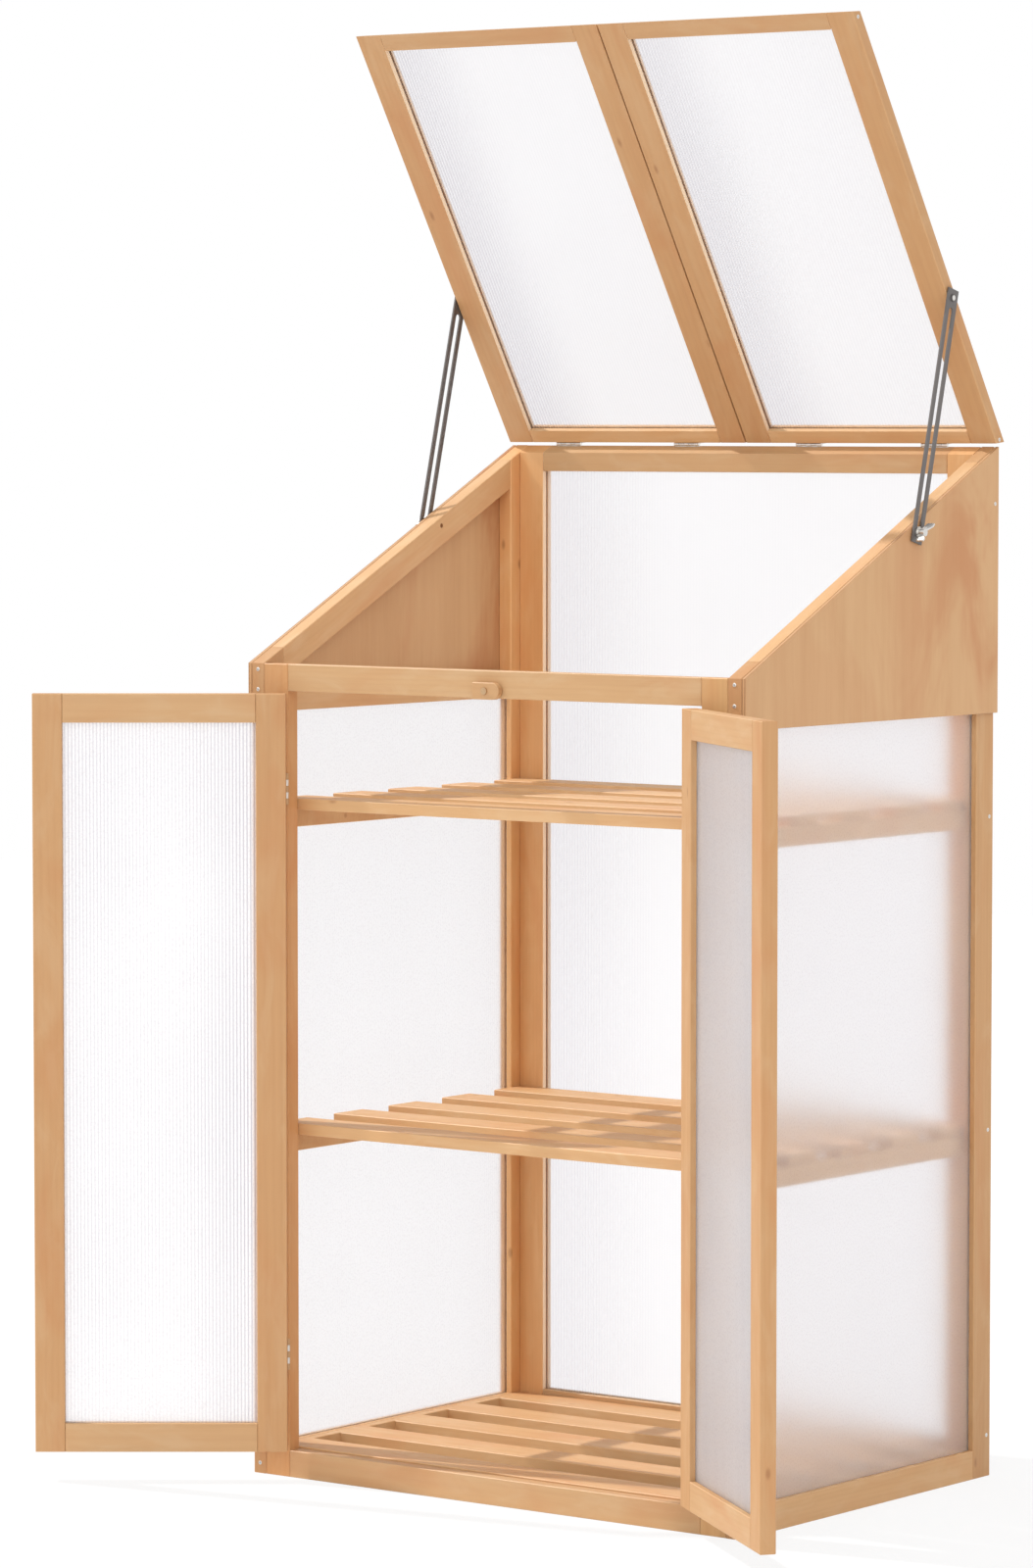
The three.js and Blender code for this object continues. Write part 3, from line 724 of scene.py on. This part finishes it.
sides = {"left": -1, "right": 1}
slopeTurn = Matrix.Rotation(math.radians(pose["lidSlope"]), 3, "X")
lidSwing = Matrix.Rotation(math.radians(-pose["lidOpen"]), 3, "X")
lidTurn = Matrix.Rotation(math.radians(pose["lidSlope"] - pose["lidOpen"]), 3, "X")


def doorTurn(side):
    return Matrix.Rotation(math.radians(side * pose["door"]), 3, "Z")


def dress(name, material):
    materials = nodes[name].data.materials
    materials.clear()
    materials.append(material)


def dressWood(name, along, across, look=woodLook, steelPart=None, revealLiftWay=None):
    dress(name, timber(name, layAlong(along, across), look, steelPart, revealLiftWay))


# the plane where a moving hinge leaf ends and its timber begins, by its y from the pin in mm when
# the door or lid is shut
leafPlane = {"door": 2.35, "lid": -2.25, "blur": 0.02}


# a mask of the leaf, which lies on the side of the plane that way gives, 1 behind and -1 in front
def leafMask(joint, turn, plane, way):
    pin = Vector(joints[joint]["pos_m"])
    blur = way * leafPlane["blur"]
    fade = [(plane + shift) / 1000 for shift in (-blur, blur)]

    def mask(kit):
        return kit.axes(kit.seenFrom(kit.place(), pin, turn))[1].step(*fade)

    return mask


def dressSide(word, side):
    for end in ("front", "rear"):
        name = f"{word}_{end}_post"
        # the left rear post takes a lightened look, painted light against the shade in its corner
        look = rearPostShadeLiftLook if name == "left_rear_post" else stileLook
        dressWood(name, upward, rightward, look)
    # the bottom, middle and sloping rails take a lightened look, painted light against their shade
    # near the floor and inside
    for rail in ("bottom", "middle"):
        dressWood(f"{word}_{rail}_rail", backward, rightward, shelfShadeLiftLook)
    dressWood(f"{word}_sloping_rail", slopeTurn @ backward, rightward, shelfShadeLiftLook)
    frontLook = frontLeftLook if word == "left" else frontRightLook
    dressWood(f"front_{word}_stile", upward, backward, frontLook)
    dressWood(f"back_{word}_stile", upward, backward, innerShadeLiftLook, revealLiftWay=rightward * -side)
    dress(f"{word}_cheek", plywood(f"{word}_cheek", side))


def dressDoor(word, side):
    turn = doorTurn(side)
    across = turn @ backward
    leaf = leafMask(f"{word}_door_hinge", turn, leafPlane["door"], -1)
    dressWood(f"{word}_door_hinge_stile", upward, across, stileLook, leaf)
    dressWood(f"{word}_door_free_stile", upward, across, stileLook)
    for rail in ("bottom", "top"):
        dressWood(f"{word}_door_{rail}_rail", turn @ rightward, across, railLook)


def dressLid(word, side):
    for stile, way in (("outer", -side), ("inner", side)):
        name = f"{word}_lid_{stile}_stile"
        dressWood(name, lidTurn @ backward, rightward, stileLook, revealLiftWay=rightward * way)
    across = lidTurn @ upward
    leaf = leafMask(f"{word}_lid_hinge", lidSwing, leafPlane["lid"], 1)
    dressWood(f"{word}_lid_front_rail", rightward, across)
    dressWood(f"{word}_lid_rear_rail", rightward, across, shelfShadeLiftLook, leaf)


for word, side in sides.items():
    dressSide(word, side)
    dressDoor(word, side)
    dressLid(word, side)
for place in ("front", "back"):
    for rail in ("bottom", "top"):
        dressWood(f"{place}_{rail}_rail", rightward, backward, railLook)
for tier in ("bottom", "middle", "top"):
    dressWood(f"{tier}_shelf", rightward, backward, shelfShadeLiftLook)
dressWood("turn_button", rightward, backward)
print("timber and plywood dressed")

zinc = zincSteel("zincSteel", steelLook)
dull = zincSteel("dullSteel", dullLook)


def dressMetal():
    pale = zincSteel("paleSteel", paleLook)
    wing = zincSteel("wingSteel", steelLook, shank=True)
    for word in sides:
        for hinge in ("lid_inner", "lid_outer"):
            dress(f"{word}_{hinge}_hinge", pale)
        for hinge in ("door_lower", "door_upper"):
            dress(f"{word}_{hinge}_hinge", dull)
        dress(f"{word}_wing_screw", wing)
        pivot = joints[f"{word}_stay_pivot"]["pos_m"]
        dress(f"{word}_stay", coatedSteel(f"{word}Coated", pivot))
    dress("turn_button_screw", dull)


dressMetal()
print("metal dressed")


# the lowest and highest corners of a piece in a flat frame that turn takes it out of
def flatBox(name, turn):
    back = turn.transposed()
    points = [back @ vertex.co for vertex in nodes[name].data.vertices]
    low = Vector([min(point[axis] for point in points) for axis in range(3)])
    high = Vector([max(point[axis] for point in points) for axis in range(3)])
    return low, high


# a new object from a mesh that was built here
def newObject(name, mesh, material):
    data = bpy.data.meshes.new(name)
    mesh.to_mesh(data)
    mesh.free()
    data.materials.append(material)
    made = bpy.data.objects.new(name, data)
    scene.collection.objects.link(made)
    return made


def addBlock(mesh, low, high, turn):
    for vertex in bmesh.ops.create_cube(mesh, size=1)["verts"]:
        corner = [(low if vertex.co[axis] < 0 else high)[axis] for axis in range(3)]
        vertex.co = turn @ Vector(corner)


# a row of ribs in a sheet with these corners, each from skin to skin, and where its ends lie
def ribRow(low, high, turn, countAxis):
    pitch = ribLook["pitch"] / 1000
    half = ribLook["thickness"] / 2000
    skin = Vector([ribLook["skin"] / 1000] * 3)
    count = int((high[countAxis] - low[countAxis]) / pitch) - 1
    first = (low[countAxis] + high[countAxis]) / 2 - (count - 1) / 2 * pitch
    mesh = bmesh.new()
    for index in range(count):
        start = low + skin
        end = high - skin
        start[countAxis] = first + index * pitch - half
        end[countAxis] = first + index * pitch + half
        addBlock(mesh, start, end, turn)
    return mesh, first, first + (count - 1) * pitch


# in the sheet's flat frame its thickness lies along one axis, the inner face looks innerWay along
# that one, and the ribs are counted along another
def glaze(name, body, turn, thicknessAxis, countAxis, innerWay, use, rib):
    low, high = flatBox(name, turn)
    mesh, first, last = ribRow(low, high, turn, countAxis)
    ribs = newObject(name + "_ribs", mesh, rib)
    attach(ribs, body)
    faceWay = turn.col[thicknessAxis] * innerWay
    dress(name, frostedSkin(name, use, faceWay, turn.col[countAxis], first, last))
    return [nodes[name], ribs]


def dressPanels():
    rib = ribPlastic()
    looks = panelLooks
    x, y, z = range(3)
    sheets = glaze("back_panel", "cabinet", level, y, x, -1, looks["back"], rib)
    for word, side in sides.items():
        sheets += glaze(f"{word}_side_panel", "cabinet", level, x, y, -side, looks[word], rib)
        name = f"{word}_door_panel"
        sheets += glaze(name, f"{word}_door", doorTurn(side), y, x, 1, looks["door"], rib)
        name = f"{word}_lid_panel"
        sheets += glaze(name, f"{word}_lid", lidTurn, z, x, -1, looks["lid"], rib)
    return sheets


# the sheets scatter only the soft light, so no sharp sun patches lie on them
def keepSunOff(sheets):
    spared = bpy.data.collections.new("sunlessSheets")
    for sheet in sheets:
        spared.objects.link(sheet)
    sun.light_linking.receiver_collection = spared
    for member in spared.collection_objects:
        member.light_linking.link_state = "EXCLUDE"


keepSunOff(dressPanels())
print("panels dressed")

# wood screws

# the radius and dome are in mm. Each ring of a head, from the rim in, has its share of the radius,
# its share of the dome's height, and how far the recess's star swings it in and out.
screwLook = {
    "radius": 2.4,
    "dome": 0.7,
    "sides": 24,
    "starPoints": 4,
    "rings": [
        (1.0, 0.0, 0),
        (0.97, 0.35, 0),
        (0.75, 0.8, 0),
        (0.5, 1.0, 0),
        (0.36, 1.0, 0.3),
        (0.2, -0.2, 0.3),
    ],
}


# a countersunk head with a shallow dome and a four-pointed recess, proud of z = 0
def screwHead(mesh, matrix, radius):
    look = screwLook
    loops = []
    for share, lift, star in look["rings"]:
        loop = []
        for index in range(look["sides"]):
            angle = 2 * math.pi * index / look["sides"]
            reach = radius * share * (1 + star * math.cos(look["starPoints"] * angle))
            point = mm(reach * math.cos(angle), reach * math.sin(angle), look["dome"] * lift)
            loop.append(mesh.verts.new(matrix @ point))
        loops.append(loop)
    for outer, inner in zip(loops, loops[1:]):
        for index in range(look["sides"]):
            after = (index + 1) % look["sides"]
            mesh.faces.new((outer[index], outer[after], inner[after], inner[index]))
    mesh.faces.new(loops[-1])
    mesh.faces.new(reversed(loops[0]))


def makeScrews(name, body, places, facing, radius=screwLook["radius"], steel=zinc):
    mesh = bmesh.new()
    turn = facing.to_track_quat("Z", "Y").to_matrix().to_4x4()
    dice = random.Random(name)
    for place in places:
        spin = Matrix.Rotation(dice.uniform(0, math.pi / 2), 4, "Z")
        screwHead(mesh, Matrix.Translation(place) @ turn @ spin, radius)
    screws = newObject(name, mesh, steel)
    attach(screws, body)


# heights of the screws in the front of the front posts, and in the sides of the rear posts and of
# the cheeks, which lie rearInset from the back, in mm
frameScrews = {
    "frontHeights": (12, 908, 931),
    "postHeights": (48, 402, 763),
    "cheekHeights": (1121,),
    "rearInset": 7.5,
}


def placeFrameScrews():
    values = frameScrews
    for word, side in sides.items():
        low, high = flatBox(f"{word}_front_post", level)
        middle = (low.x + high.x) / 2
        places = [Vector((middle, low.y, height / 1000)) for height in values["frontHeights"]]
        makeScrews(f"{word}_front_screws", "cabinet", places, -backward)
        places = []
        for piece, heights in (("rear_post", "postHeights"), ("cheek", "cheekHeights")):
            low, high = flatBox(f"{word}_{piece}", level)
            face = (low if side < 0 else high).x
            depth = high.y - values["rearInset"] / 1000
            places += [Vector((face, depth, height / 1000)) for height in values[heights]]
        makeScrews(f"{word}_side_screws", "cabinet", places, rightward * side)


# where the screws of each leaf lie, in mm from the pin with the door or lid shut: out, down and up
# are across the leaf, and each face is how far behind the pin its bare face lies
hingeScrews = {
    "radius": 1.9,
    "spread": 10.5,
    "doorOut": 7.4,
    "doorFace": 0.9,
    "lidFixedDown": 11.3,
    "lidFixedFace": 2.0,
    "lidMovingUp": 6.8,
    "lidMovingFace": -0.8,
}


# one pair of screws along a leaf
def leafScrews(name, body, pin, along, offset, facing, turn=level, steel=zinc):
    spread = hingeScrews["spread"] / 1000
    places = [pin + turn @ (offset + along * reach) for reach in (-spread, spread)]
    makeScrews(name + "_leaf_screws", body, places, turn @ facing, hingeScrews["radius"], steel)


def placeDoorHingeScrews(word, side):
    values = hingeScrews
    pin = Vector(joints[f"{word}_door_hinge"]["pos_m"])
    fixed = mm(side * values["doorOut"], values["doorFace"], 0)
    moving = mm(-side * values["doorOut"], values["doorFace"], 0)
    turn = doorTurn(side)
    for place in ("lower", "upper"):
        hinge = f"{word}_door_{place}"
        pin.z = pieceCentre(hinge + "_hinge").z
        leafScrews(hinge + "_fixed", "cabinet", pin, upward, fixed, -backward, steel=dull)
        leafScrews(hinge + "_moving", f"{word}_door", pin, upward, moving, -backward, turn, dull)


def placeLidHingeScrews(word):
    values = hingeScrews
    pin = Vector(joints[f"{word}_lid_hinge"]["pos_m"])
    fixed = mm(0, values["lidFixedFace"], -values["lidFixedDown"])
    moving = mm(0, values["lidMovingFace"], values["lidMovingUp"])
    for place in ("inner", "outer"):
        hinge = f"{word}_lid_{place}"
        pin.x = pieceCentre(hinge + "_hinge").x
        leafScrews(hinge + "_fixed", "cabinet", pin, rightward, fixed, backward)
        leafScrews(hinge + "_moving", f"{word}_lid", pin, rightward, moving, backward, lidSwing)


# how far the screws lie from the stile's ends, in mm
lidScrews = {"frontInset": 10.5, "rearInset": 8}


# the screws through each lid's outer stile into the ends of its two rails
def placeLidScrews():
    front = lidScrews["frontInset"] / 1000
    rear = lidScrews["rearInset"] / 1000
    for word, side in sides.items():
        low, high = flatBox(f"{word}_lid_outer_stile", lidTurn)
        face = (low if side < 0 else high).x
        middle = (low.z + high.z) / 2
        places = [lidTurn @ Vector((face, y, middle)) for y in (low.y + front, high.y - rear)]
        makeScrews(f"{word}_lid_screws", f"{word}_lid", places, rightward * side)


placeFrameScrews()
for word, side in sides.items():
    placeDoorHingeScrews(word, side)
    placeLidHingeScrews(word)
placeLidScrews()
print("screws placed")
